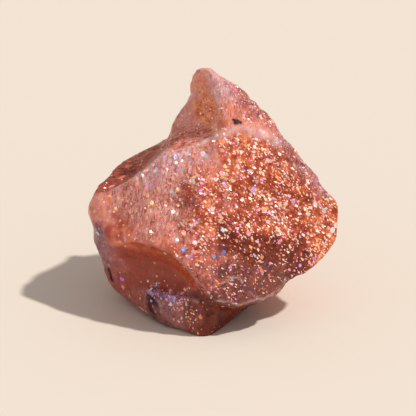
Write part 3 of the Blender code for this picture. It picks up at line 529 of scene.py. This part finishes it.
def creases(points):
    """How far the creases stand out of the skin at each point, and how pale they make it, in pale veins and
    in painted highlight on ridges and thin rims.
    """
    moved = strayed(points, CREASE_WANDER_SIZE, CREASE_WANDER, SEEDS["creases"])
    strength = CREASE_STRENGTH + CREASE_CHANGE * smooth_noise(points, CREASE_CHANGE_SIZE, SEEDS["fading"])
    strength = np.clip(strength, *CREASE_LIMITS)
    height = np.zeros(len(points))
    vein_and_highlight = np.zeros(len(points))
    for width, pale, high, line in CREASES.values():
        near = nearness(moved, line, width) * strength
        vein_and_highlight = np.maximum(vein_and_highlight, pale * near)
        height += high * near
    return height, vein_and_highlight


def dark_inclusions(points):
    """How black the inclusions make each point."""
    soot = np.zeros(len(points))
    for width, line in SOOT.values():
        moved = strayed(points, SOOT_WANDER * width + SOOT_BEND_LEAST, SOOT_WANDER * width, SEEDS["soot"])
        near = SOOT_EDGE * (1.0 - line_distance(moved, line) / width)
        soot = np.maximum(soot, np.clip(near, 0.0, 1.0))
    return soot


def stains(points):
    """How crimson the stains make each point."""
    stain = np.zeros(len(points))
    for width, line in STAINS.values():
        moved = strayed(points, STAIN_WANDER_SIZE * width, STAIN_WANDER * width, SEEDS["stains"])
        stain = np.maximum(stain, nearness(moved, line, width))
    return stain


def vertex_vectors(source, name):
    """One vector for each vertex, read from a list that the mesh keeps."""
    flat = np.empty(len(source) * 3)
    source.foreach_get(name, flat)
    return flat.reshape(-1, 3)


def dress_skin(stone):
    """Shapes the fine relief, and writes the values that the material reads."""
    mesh = stone.data
    points = vertex_vectors(mesh.vertices, "co") / MM
    normals = vertex_vectors(mesh.vertex_normals, "vector")
    values = area_values(points)
    height = relief(points, values)
    crease_height, values["vein_and_highlight"] = creases(points)
    values["soot"] = dark_inclusions(points)
    values["stain"] = stains(points)

    height += crease_height
    height *= np.clip(points[:, 2] / GROUND_FADE, 0.0, 1.0)
    points = points + normals * height[:, None]
    points[:, 2] = np.maximum(points[:, 2], 0.0)
    mesh.vertices.foreach_set("co", (points * MM).ravel())
    mesh.update()
    for name, value in values.items():
        layer = mesh.attributes.new(name, "FLOAT", "POINT")
        layer.data.foreach_set("value", value.astype(np.float32))


# The mix node keeps the sockets of numbers and colours side by side: the numbers of its three inputs
# and of its output for each kind
MIX_SOCKETS = {"FLOAT": ((0, 2, 3), 0), "RGBA": ((0, 6, 7), 2)}

# Threads and strokes in the skin: how much they are drawn out, and how sharp their edges are
THREAD_STRETCH = 0.22
THREAD_DETAIL = 3.0
THREAD_ROUGHNESS = 0.55
THREAD_SHARPNESS = 6.0
STROKE_STRETCH = 0.28
STROKE_EDGE = (0.48, 0.26)


class Graph:
    """The nodes of a material or a world, made and joined in short calls."""

    def __init__(self, owner):
        owner.use_nodes = True
        self.tree = owner.node_tree

    def put(self, socket, value):
        if isinstance(value, bpy.types.NodeSocket):
            self.tree.links.new(value, socket)
        else:
            socket.default_value = value

    def node(self, kind, inputs=(), **settings):
        """A node with its settings, and with its inputs by name or by number."""
        made = self.tree.nodes.new("ShaderNode" + kind)
        for name, value in settings.items():
            setattr(made, name, value)
        for name, value in dict(inputs).items():
            self.put(made.inputs[name], value)
        return made

    def math(self, operation, *values, clamp=False):
        return self.node("Math", enumerate(values), operation=operation, use_clamp=clamp).outputs[0]

    def vector(self, operation, *values):
        made = self.node("VectorMath", enumerate(values), operation=operation)
        return made.outputs["Value" if operation in ("DOT_PRODUCT", "LENGTH") else "Vector"]

    def scaled(self, vector, factor):
        return self.node("VectorMath", {0: vector, "Scale": factor}, operation="SCALE").outputs["Vector"]

    def turned(self, vector, rotation):
        inputs = {"Vector": vector, "Rotation": rotation}
        return self.node("VectorRotate", inputs, rotation_type="EULER_XYZ").outputs["Vector"]

    def parts(self, vector):
        return self.node("SeparateXYZ", {"Vector": vector}).outputs

    def between(self, kind, factor, low, high):
        inputs, output = MIX_SOCKETS[kind]
        values = zip(inputs, (factor, low, high))
        return self.node("Mix", values, data_type=kind, clamp_factor=True).outputs[output]

    def mix(self, factor, low, high):
        """A colour between low and high."""
        return self.between("RGBA", factor, low, high)

    def blend(self, factor, low, high):
        """A number between low and high."""
        return self.between("FLOAT", factor, low, high)

    def remap(self, value, low, high, to_low=0.0, to_high=1.0):
        values = enumerate((value, low, high, to_low, to_high))
        return self.node("MapRange", values).outputs[0]

    def sway(self, value, amount, start):
        """Start, moved up or down by how far the value is from its middle."""
        return self.math("MULTIPLY_ADD", self.math("SUBTRACT", value, 0.5), amount, start)

    def ramp(self, value, stops, steps=False):
        made = self.node("ValToRGB", {"Fac": value})
        ramp = made.color_ramp
        ramp.interpolation = "CONSTANT" if steps else "LINEAR"
        while len(ramp.elements) < len(stops):
            ramp.elements.new(0.5)
        for element, (place, colour) in zip(ramp.elements, stops):
            element.position = place
            element.color = (*colour, 1.0)
        return made.outputs["Color"]

    def noise(self, vector, size, detail, roughness):
        """Noise of the given size, about 0.5."""
        inputs = {"Vector": vector, "Scale": 1.0 / size, "Detail": detail, "Roughness": roughness}
        return self.node("TexNoise", inputs).outputs[0]

    def cells(self, vector, size):
        """Random cells of the given size."""
        return self.node("TexVoronoi", {"Vector": vector, "Scale": 1.0 / size}).outputs

    def drawn_out(self, vector, along, stretch):
        """Places in which what is drawn is longer along a direction."""
        turned = self.turned(vector, along.rotation_difference(UP).to_euler())
        return self.vector("MULTIPLY", turned, (1.0, 1.0, stretch))

    def strokes(self, vector, along, size):
        """Short strokes drawn out along a direction: where each is, and its random numbers."""
        cells = self.cells(self.drawn_out(vector, along, STROKE_STRETCH), size)
        return self.remap(cells["Distance"], *STROKE_EDGE), self.parts(cells["Color"])

    def threads(self, vector, along, size):
        """Fine wandering crests drawn out along a direction, 1 on the crest."""
        drawn_out = self.drawn_out(vector, along, THREAD_STRETCH)
        wave = self.noise(drawn_out, size, THREAD_DETAIL, THREAD_ROUGHNESS)
        away = self.math("ABSOLUTE", self.math("SUBTRACT", wave, 0.5))
        return self.math("SUBTRACT", 1.0, self.math("MULTIPLY", away, THREAD_SHARPNESS, clamp=True))

    def value(self, name):
        """One of the mesh's own values."""
        return self.node("Attribute", attribute_name=name).outputs["Fac"]


# Colours of the ground from dark to pale, where it is plain, amber and under the painted lilac sheen
GROUND_TONES = [
    (0.00, (0.070, 0.010, 0.006)),
    (0.20, (0.200, 0.024, 0.010)),
    (0.40, (0.430, 0.066, 0.026)),
    (0.55, (0.680, 0.135, 0.060)),
    (0.75, (0.870, 0.280, 0.170)),
    (1.00, (0.940, 0.640, 0.520)),
]
AMBER_TONES = [
    (0.00, (0.100, 0.020, 0.006)),
    (0.30, (0.350, 0.065, 0.016)),
    (0.55, (0.680, 0.175, 0.060)),
    (0.75, (0.860, 0.290, 0.130)),
    (0.90, (0.930, 0.520, 0.330)),
    (1.00, (0.950, 0.700, 0.500)),
]
LILAC_SHEEN_TONES = [
    (0.00, (0.140, 0.030, 0.035)),
    (0.35, (0.480, 0.145, 0.135)),
    (0.60, (0.750, 0.310, 0.290)),
    (0.85, (0.920, 0.550, 0.560)),
    (1.00, (0.970, 0.760, 0.780)),
]
PALE_VEIN_AND_HIGHLIGHT = (0.92, 0.64, 0.60, 1.0)
# Painted highlight on the crests of the threads
LILAC_HIGHLIGHT = (0.98, 0.70, 0.74, 1.0)
PALE_HIGHLIGHT_STROKE = (1.00, 0.70, 0.70, 1.0)
DARK_STROKE = (0.20, 0.035, 0.025, 1.0)
WARM_HIGHLIGHT_STROKE = (1.00, 0.52, 0.38, 1.0)
SPECK = (0.16, 0.04, 0.015, 1.0)
CRIMSON = (0.46, 0.050, 0.022, 1.0)
BLACK = (0.052, 0.008, 0.003, 1.0)
WHITE = (1.0, 1.0, 1.0, 1.0)
# The painted violet sheen
VIOLET_SHEEN = (0.62, 0.42, 0.52)  # the greyish violet bloom on some areas, as it is on pale ground

# Noises that vary the stone: the size, detail and roughness of each
CLOUDS = (1.1, 4.0, 0.65)
GRAINS = (0.32, 3.0, 0.5)
AMBER_PATCHES = (2.2, 2.0, 0.5)
LILAC_STREAKS = (0.5, 3.0, 0.5)
BROWN_SPECKS = (0.26, 2.0, 0.6)
CLUSTERS = (1.2, 2.0, 0.5)
FINE_BUMPS = (0.16, 3.0, 0.5)

# How the ground's tone varies: with the grains and the facets, more so among the platelets, and with the
# platelets' clusters, between which it is deeper
ROUGH_GROUND = 0.35
ROUGH_AMONG_PLATELETS = 0.55
GRAIN_CHANGE = 0.65
FACET_CHANGE = 0.25
GAP_CHANGE = -0.16
CLUSTER_MIDDLE = 0.8

# Where amber, lilac and brown begin and where they are full, in their noises
AMBER_LIMITS = (0.35, 0.65)
LILAC_LIMITS = (0.30, 0.62)
LILAC_STRETCH = (1.0, 1.0, 0.3)
SPECK_LIMITS = (0.55, 0.66)
# How strongly the specks and the stains cover the ground, and how the painted violet sheen follows its tone
SPECK_STRENGTH = 0.62
STAIN_STRENGTH = 0.80
SHEEN_SLOPE = 1.2
SHEEN_START = 0.10

# The fibres of the striped and of the wrinkled skin: the way they run, the size of their threads, how
# much the threads change the tone, in painted highlight on their crests and painted shade between them,
# how sharp and how pale their crests are, the paleness a painted highlight, and the size, share and
# colour of their strokes, the pale ones painted highlights
FIBRES = {
    "stripes": dict(along=STRIPES_ALONG, thread=0.26, change=0.30, crest=3.0, pale=0.45, stroke=0.20,
                    share=0.42, colour=PALE_HIGHLIGHT_STROKE),
    "wrinkles": dict(along=WRINKLES_ALONG, thread=0.30, change=0.28, crest=2.0, pale=0.20, stroke=0.24,
                     share=0.16, colour=WARM_HIGHLIGHT_STROKE),
}
# The threads' lift is painted highlight on their crests and painted shade between them
THREAD_MIDDLE = 0.45  # the threads lift the tone above this and lower it below
# Which random numbers make a stroke dark and how dark it is, and how pale the pale ones, the painted
# highlights, are
DARK_STROKES_FROM = 0.75
DARK_STROKES_STRENGTH = 0.35
STROKE_LEAST = 0.15
STROKE_RANGE = 0.75

# Colours of the platelets, by share: partly their own colours, partly painted glints, the near-white and the
# cool ones above all
WARM_PLATES_AND_GLINTS = [
    (0.00, (1.00, 0.74, 0.50)),
    (0.14, (1.00, 0.84, 0.72)),
    (0.44, (1.00, 0.52, 0.24)),
    (0.57, (1.00, 0.34, 0.15)),
    (0.71, (1.00, 0.48, 0.38)),
    (0.86, (1.00, 0.60, 0.60)),
]
COOL_PLATES_AND_GLINTS = [
    (0.00, (1.00, 0.56, 0.68)),
    (0.30, (1.00, 0.36, 0.80)),
    (0.48, (0.72, 0.46, 1.00)),
    (0.70, (0.94, 0.86, 1.00)),
    (0.93, (0.42, 0.66, 1.00)),
    (0.98, (0.60, 0.95, 1.00)),
]
# The platelets under the striped skin are tinted warmer, as their painted glints are
STRIPED_PLATES = (1.0, 0.70, 0.60, 1.0)  # how the platelets under the striped skin are tinted
# A platelet's colour deepens towards its edge: a painted glow around its flash
PLATE_RIM = (1.0, 0.58, 0.44)  # how a platelet's colour deepens towards its edge
# Platelets in four sizes: the spacing of their lattice, their half length, width and thickness, and
# the share of them that shows where there are most
PLATES = [
    dict(spacing=0.18, half=(0.085, 0.050, 0.055), share=0.26),
    dict(spacing=0.28, half=(0.155, 0.075, 0.080), share=0.44),
    dict(spacing=0.46, half=(0.240, 0.115, 0.125), share=0.50),
    dict(spacing=0.74, half=(0.290, 0.180, 0.200), share=0.22),
]
PLATE_OFFSET = (13.0, 7.0, 11.0)  # moves each size's lattice away from the others
PLATE_RESHUFFLE = (13.7, 29.3, 41.9)  # makes fresh random numbers out of a cell's own
PLATE_LONG_WAY = Vector((0.68, -0.04, -0.73)).normalized()
PLATE_JITTER = 0.9
PLATE_TILT = 1.2
# Where a platelet's edge fades and where its rim's colour gives way to its own, counted in half sizes
PLATE_EDGE = (1.15, 0.95)
PLATE_RIM_EDGE = (1.05, 0.75)
# How bright each platelet is painted, at random: painted glints, as some flash and some do not
PLATE_LEAST_BRIGHT = 0.80
PLATE_BRIGHT_RANGE = 0.50
PLATE_ROUGHNESS = 0.36
PLATE_METAL = 0.35
GLEAM_WAY = Vector((0.33, -0.59, 0.74)).normalized()  # the way most platelets face
GLEAM_SHARE = 1.6
GLINT_WAY = Vector((0.75, 0.10, 0.65)).normalized()  # the way the single bright platelets face
GLINT_SHARE = 2.0
GLINT_EDGE = (1.15, 0.85)

# Clusters of platelets: where their noise is read, its limits, and how thick the platelets are at each
CLUSTER_PLACE = (50.0, 0.0, 0.0)
CLUSTER_LIMITS = (0.40, 0.56)
CLUSTER_THICKNESS = (0.40, 1.10)

# The bare skin between the platelets: its facets, bumps and roughness, and the light inside the stone
FACET_SIZE = 0.42
SMALL_FACET_SIZE = 0.20
FACET_TILT = 0.30
SMALL_FACET_TILT = 0.20
MIDDLE_TILT = ((FACET_TILT + SMALL_FACET_TILT) / 2,) * 3
BUMP_HEIGHT = 0.035
SMOOTHEST = 0.14
ROUGHNESS_RANGE = 0.28
REFRACTION = 1.53
SPECULAR = 0.25
SCATTER = 0.10
SCATTER_BY_COLOUR = (1.0, 0.35, 0.22)
SCATTER_DEPTH = 1.0


def plates(graph, place, likely, cool, tint, spacing, half, share, number):
    """One size of platelets: where they show, their colour with its painted glint, and how each one is
    tilted.
    """
    shifted = graph.vector("ADD", place, tuple(number * step for step in PLATE_OFFSET))
    cells = graph.cells(shifted, spacing)
    draw = cells["Color"]
    other = graph.vector("FRACTION", graph.vector("MULTIPLY", draw, PLATE_RESHUFFLE))
    local = graph.vector("SUBTRACT", shifted, cells["Position"])
    lined_up = graph.turned(local, PLATE_LONG_WAY.rotation_difference(RIGHT).to_euler())
    jitter = graph.scaled(graph.vector("SUBTRACT", other, HALF), PLATE_JITTER)
    turned = graph.turned(lined_up, jitter)
    size = graph.parts(graph.vector("DIVIDE", graph.vector("ABSOLUTE", turned), half))
    edge = graph.math("MAXIMUM", graph.math("MAXIMUM", size[0], size[1]), size[2])
    drawn = graph.parts(draw)
    shown = graph.math("LESS_THAN", drawn[2], graph.math("MULTIPLY", likely, share))
    here = graph.math("MULTIPLY", graph.remap(edge, *PLATE_EDGE), shown)
    mixed = graph.parts(other)
    is_cool = graph.math("LESS_THAN", mixed[2], cool)
    warm_colour = graph.ramp(mixed[0], WARM_PLATES_AND_GLINTS, steps=True)
    cool_colour = graph.ramp(mixed[0], COOL_PLATES_AND_GLINTS, steps=True)
    colour = graph.mix(is_cool, warm_colour, cool_colour)
    rim = graph.vector("MULTIPLY", colour, PLATE_RIM)
    colour = graph.mix(graph.remap(edge, *PLATE_RIM_EDGE), rim, colour)
    colour = graph.vector("MULTIPLY", colour, tint)
    # Random brightness of each platelet: painted glints
    bright = graph.math("MULTIPLY_ADD", mixed[1], PLATE_BRIGHT_RANGE, PLATE_LEAST_BRIGHT)
    colour = graph.scaled(colour, bright)
    tilt = graph.scaled(graph.vector("SUBTRACT", draw, HALF), PLATE_TILT)
    return here, colour, tilt


def random_platelets(graph, place, colour, clusters):
    """The ground with its random platelets and their painted glints, where these lie, and how they are
    tilted.
    """
    likely = graph.math("MULTIPLY", graph.value("sparkle"), clusters)
    likely = graph.math("MULTIPLY", likely, graph.math("SUBTRACT", 1.0, graph.value("soot")))
    cool = graph.value("cool")
    tint = graph.mix(graph.value("stripes"), WHITE, STRIPED_PLATES)
    cover = 0.0
    lean = (0.0, 0.0, 0.0, 1.0)
    for number, layer in enumerate(PLATES, 1):
        here, plate_colour, tilt = plates(graph, place, likely, cool, tint, number=number, **layer)
        colour = graph.mix(here, colour, plate_colour)
        cover = graph.math("MAXIMUM", here, cover)
        lean = graph.mix(here, lean, tilt)
    return colour, cover, lean


def painted_glints(graph, place, colour):
    """The colour with the single bright platelets and their painted glints on it, and where these lie."""
    cover = 0.0
    for drawn_in, glints in GLINTS.values():
        for spot, size, glint in glints:
            off = graph.vector("MULTIPLY", graph.vector("SUBTRACT", place, spot), drawn_in)
            here = graph.remap(graph.vector("LENGTH", off), *(size * edge for edge in GLINT_EDGE))
            colour = graph.mix(here, colour, (*glint, 1.0))
            cover = graph.math("MAXIMUM", here, cover)
    return colour, cover


def stroked(graph, place, ground, amount, fibre):
    """The ground with a fibre's short pale strokes, which are painted highlights, and with dark ones between
    them.
    """
    there, drawn = graph.strokes(place, fibre["along"], fibre["stroke"])
    there = graph.math("MULTIPLY", there, amount)
    dark = graph.math("MULTIPLY", there, graph.math("GREATER_THAN", drawn[0], DARK_STROKES_FROM))
    ground = graph.mix(graph.math("MULTIPLY", dark, DARK_STROKES_STRENGTH), ground, DARK_STROKE)
    # The pale strokes are painted highlights
    pale = graph.math("MULTIPLY", there, graph.math("LESS_THAN", drawn[0], fibre["share"]))
    pale = graph.math("MULTIPLY", pale, graph.math("MULTIPLY_ADD", drawn[1], STROKE_RANGE, STROKE_LEAST))
    return graph.mix(pale, ground, fibre["colour"])


def ground_tone(graph, place, facet, threads, clusters):
    """How dark or pale the stone is between its platelets, with painted highlight and shade along its
    threads.
    """
    sparkle = graph.value("sparkle")
    tone = graph.sway(graph.noise(place, *CLOUDS), graph.value("mottle"), graph.value("tone"))
    rough = graph.math("MULTIPLY_ADD", sparkle, ROUGH_AMONG_PLATELETS, ROUGH_GROUND)
    rough = graph.math("MULTIPLY", graph.value("facets"), rough)
    tone = graph.sway(graph.noise(place, *GRAINS), graph.math("MULTIPLY", rough, GRAIN_CHANGE), tone)
    tone = graph.sway(graph.parts(facet)[0], graph.math("MULTIPLY", rough, FACET_CHANGE), tone)
    gap = graph.math("MULTIPLY", graph.math("SUBTRACT", CLUSTER_MIDDLE, clusters), sparkle)
    tone = graph.math("MULTIPLY_ADD", gap, GAP_CHANGE, tone)
    # Painted highlight on the thread crests and painted shade between them
    for name, fibre in FIBRES.items():
        lift = graph.math("SUBTRACT", threads[name], THREAD_MIDDLE)
        lift = graph.math("MULTIPLY", lift, graph.value(name))
        tone = graph.math("MULTIPLY_ADD", lift, fibre["change"], tone)
    return tone


def ground_colour(graph, place, facet, threads, clusters):
    """The colour of the stone between its platelets."""
    tone = ground_tone(graph, place, facet, threads, clusters)
    amber = graph.remap(graph.noise(place, *AMBER_PATCHES), *AMBER_LIMITS)
    amber = graph.math("MULTIPLY", graph.value("amber"), amber)
    ground = graph.mix(amber, graph.ramp(tone, GROUND_TONES), graph.ramp(tone, AMBER_TONES))
    # Painted lilac sheen
    streaks = graph.noise(graph.vector("MULTIPLY", place, LILAC_STRETCH), *LILAC_STREAKS)
    lilac_sheen = graph.math("MULTIPLY", graph.value("lilac_sheen"), graph.remap(streaks, *LILAC_LIMITS))
    ground = graph.mix(lilac_sheen, ground, graph.ramp(tone, LILAC_SHEEN_TONES))
    # Painted lilac highlight on the thread crests
    for name, fibre in FIBRES.items():
        crest = graph.math("POWER", threads[name], fibre["crest"])
        crest = graph.math("MULTIPLY", crest, graph.value(name))
        ground = graph.mix(graph.math("MULTIPLY", crest, fibre["pale"]), ground, LILAC_HIGHLIGHT)
    for name, fibre in FIBRES.items():
        ground = stroked(graph, place, ground, graph.value(name), fibre)
    # Pale veins, and painted highlight on ridges and thin rims
    ground = graph.mix(graph.value("vein_and_highlight"), ground, PALE_VEIN_AND_HIGHLIGHT)
    ground = graph.mix(graph.math("MULTIPLY", graph.value("stain"), STAIN_STRENGTH), ground, CRIMSON)
    speck = graph.remap(graph.noise(place, *BROWN_SPECKS), *SPECK_LIMITS)
    speck = graph.math("MULTIPLY", speck, graph.value("specks"))
    ground = graph.mix(graph.math("MULTIPLY", speck, SPECK_STRENGTH), ground, SPECK)
    # Painted violet sheen, paler where the ground is pale
    sheen_colour = graph.scaled(VIOLET_SHEEN, graph.math("MULTIPLY_ADD", tone, SHEEN_SLOPE, SHEEN_START))
    ground = graph.mix(graph.value("violet_sheen"), ground, sheen_colour)
    return graph.mix(graph.value("soot"), ground, BLACK)


def fine_bumps(graph, place, threads):
    """The skin's normal with its finest bumps."""
    height = 0.0
    for name in FIBRES:
        height = graph.math("MULTIPLY_ADD", threads[name], graph.value(name), height)
    fine = graph.noise(place, *FINE_BUMPS)
    height = graph.math("MULTIPLY_ADD", fine, graph.value("facets"), height)
    return graph.node("Bump", {"Strength": 1.0, "Distance": BUMP_HEIGHT * MM, "Height": height}).outputs[0]


def stone_material():
    material = bpy.data.materials.new("sunstone_surface")
    graph = Graph(material)
    place = graph.scaled(graph.node("TexCoord").outputs["Object"], 1.0 / MM)
    threads = {
        name: graph.threads(place, fibre["along"], fibre["thread"])
        for name, fibre in FIBRES.items()
    }
    facet = graph.cells(place, FACET_SIZE)["Color"]
    small_facet = graph.cells(place, SMALL_FACET_SIZE)["Color"]
    clusters = graph.noise(graph.vector("ADD", place, CLUSTER_PLACE), *CLUSTERS)
    clusters = graph.remap(clusters, *CLUSTER_LIMITS, *CLUSTER_THICKNESS)

    colour = ground_colour(graph, place, facet, threads, clusters)
    colour, many, lean = random_platelets(graph, place, colour, clusters)
    colour, single = painted_glints(graph, place, colour)
    cover = graph.math("MAXIMUM", single, many)
    many = graph.math("SUBTRACT", many, single, clamp=True)

    bump = fine_bumps(graph, place, threads)
    tilts = graph.scaled(facet, FACET_TILT), graph.scaled(small_facet, SMALL_FACET_TILT)
    jagged = graph.vector("SUBTRACT", graph.vector("ADD", *tilts), MIDDLE_TILT)
    bare = graph.math("SUBTRACT", 1.0, cover)
    jagged = graph.scaled(jagged, graph.math("MULTIPLY", graph.value("facets"), bare))
    lean = graph.vector("ADD", lean, jagged)
    toward = graph.math("MAXIMUM", graph.vector("DOT_PRODUCT", bump, GLEAM_WAY), 0.0)
    for where, way, share in ((many, GLEAM_WAY, GLEAM_SHARE), (single, GLINT_WAY, GLINT_SHARE)):
        turned = graph.math("MULTIPLY", graph.math("MULTIPLY", toward, where), share)
        lean = graph.vector("ADD", lean, graph.scaled(tuple(way), turned))

    surface = graph.tree.nodes["Principled BSDF"].inputs
    graph.put(surface["Normal"], graph.vector("NORMALIZE", graph.vector("ADD", bump, lean)))
    graph.put(surface["Base Color"], colour)
    graph.put(surface["Metallic"], graph.math("MULTIPLY", cover, PLATE_METAL))
    worn = graph.math("MULTIPLY_ADD", graph.parts(facet)[1], ROUGHNESS_RANGE, SMOOTHEST)
    graph.put(surface["Roughness"], graph.blend(cover, worn, PLATE_ROUGHNESS))
    surface["IOR"].default_value = REFRACTION
    surface["Specular IOR Level"].default_value = SPECULAR
    surface["Subsurface Weight"].default_value = SCATTER
    surface["Subsurface Radius"].default_value = SCATTER_BY_COLOUR
    surface["Subsurface Scale"].default_value = SCATTER_DEPTH * MM
    return material


def plain_floor():
    half = FLOOR_SIDE / 2
    corners = [(-half, -half, 0), (half, -half, 0), (half, half, 0), (-half, half, 0)]
    mesh = bpy.data.meshes.new("floor")
    mesh.from_pydata(corners, [], [(0, 1, 2, 3)])
    floor = bpy.data.objects.new("floor", mesh)
    bpy.context.scene.collection.objects.link(floor)
    material = bpy.data.materials.new("floor")
    material.use_nodes = True
    matt = material.node_tree.nodes["Principled BSDF"]
    matt.inputs["Base Color"].default_value = (*FLOOR_COLOUR, 1.0)
    matt.inputs["Roughness"].default_value = FLOOR_ROUGHNESS
    mesh.materials.append(material)


def sunlight():
    lamp = bpy.data.lights.new("sun", "SUN")
    lamp.energy = SUN_STRENGTH
    lamp.angle = SUN_SIZE
    lamp.color = SUN_COLOUR
    sun = bpy.data.objects.new("sun", lamp)
    sun.rotation_euler = SUN_WAY.to_track_quat("Z", "Y").to_euler()
    bpy.context.scene.collection.objects.link(sun)


def surround():
    """A pale sky that lights the stone, and a backdrop that only the camera sees."""
    world = bpy.data.worlds.new("surround")
    graph = Graph(world)
    seen = graph.node("LightPath").outputs["Is Camera Ray"]
    sky = tuple(SKY_STRENGTH * part for part in SKY_COLOUR)
    background = graph.tree.nodes["Background"].inputs
    graph.put(background["Color"], graph.mix(seen, (*sky, 1.0), (*BACKDROP_COLOUR, 1.0)))
    background["Strength"].default_value = 1.0
    bpy.context.scene.world = world


def photo_camera():
    """A long lens that looks along +Y, tilted down, framed as the photograph is."""
    back = Vector((0.0, -math.cos(CAMERA_TILT), math.sin(CAMERA_TILT)))
    up = back.cross(RIGHT)
    middle = PHOTO_SIDE / 2
    aim = RIGHT * (middle - ORIGIN_PIXEL[0]) * PIXEL + up * (ORIGIN_PIXEL[1] - middle) * PIXEL
    lens = bpy.data.cameras.new("camera")
    lens.sensor_width = SENSOR
    lens.lens = SENSOR * CAMERA_DISTANCE / (PHOTO_SIDE * PIXEL)
    lens.clip_start = NEAREST_SEEN
    camera = bpy.data.objects.new("camera", lens)
    camera.location = aim + back * CAMERA_DISTANCE
    camera.rotation_euler = back.to_track_quat("Z", "Y").to_euler()
    bpy.context.scene.collection.objects.link(camera)
    bpy.context.scene.camera = camera


bpy.context.scene.view_settings.view_transform = "Standard"
photo_camera()
plain_floor()
sunlight()
surround()
stone = fine_skin(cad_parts[NODE])
dress_skin(stone)
stone.data.materials.clear()
stone.data.materials.append(stone_material())
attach(stone, "root")
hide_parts(NODE)
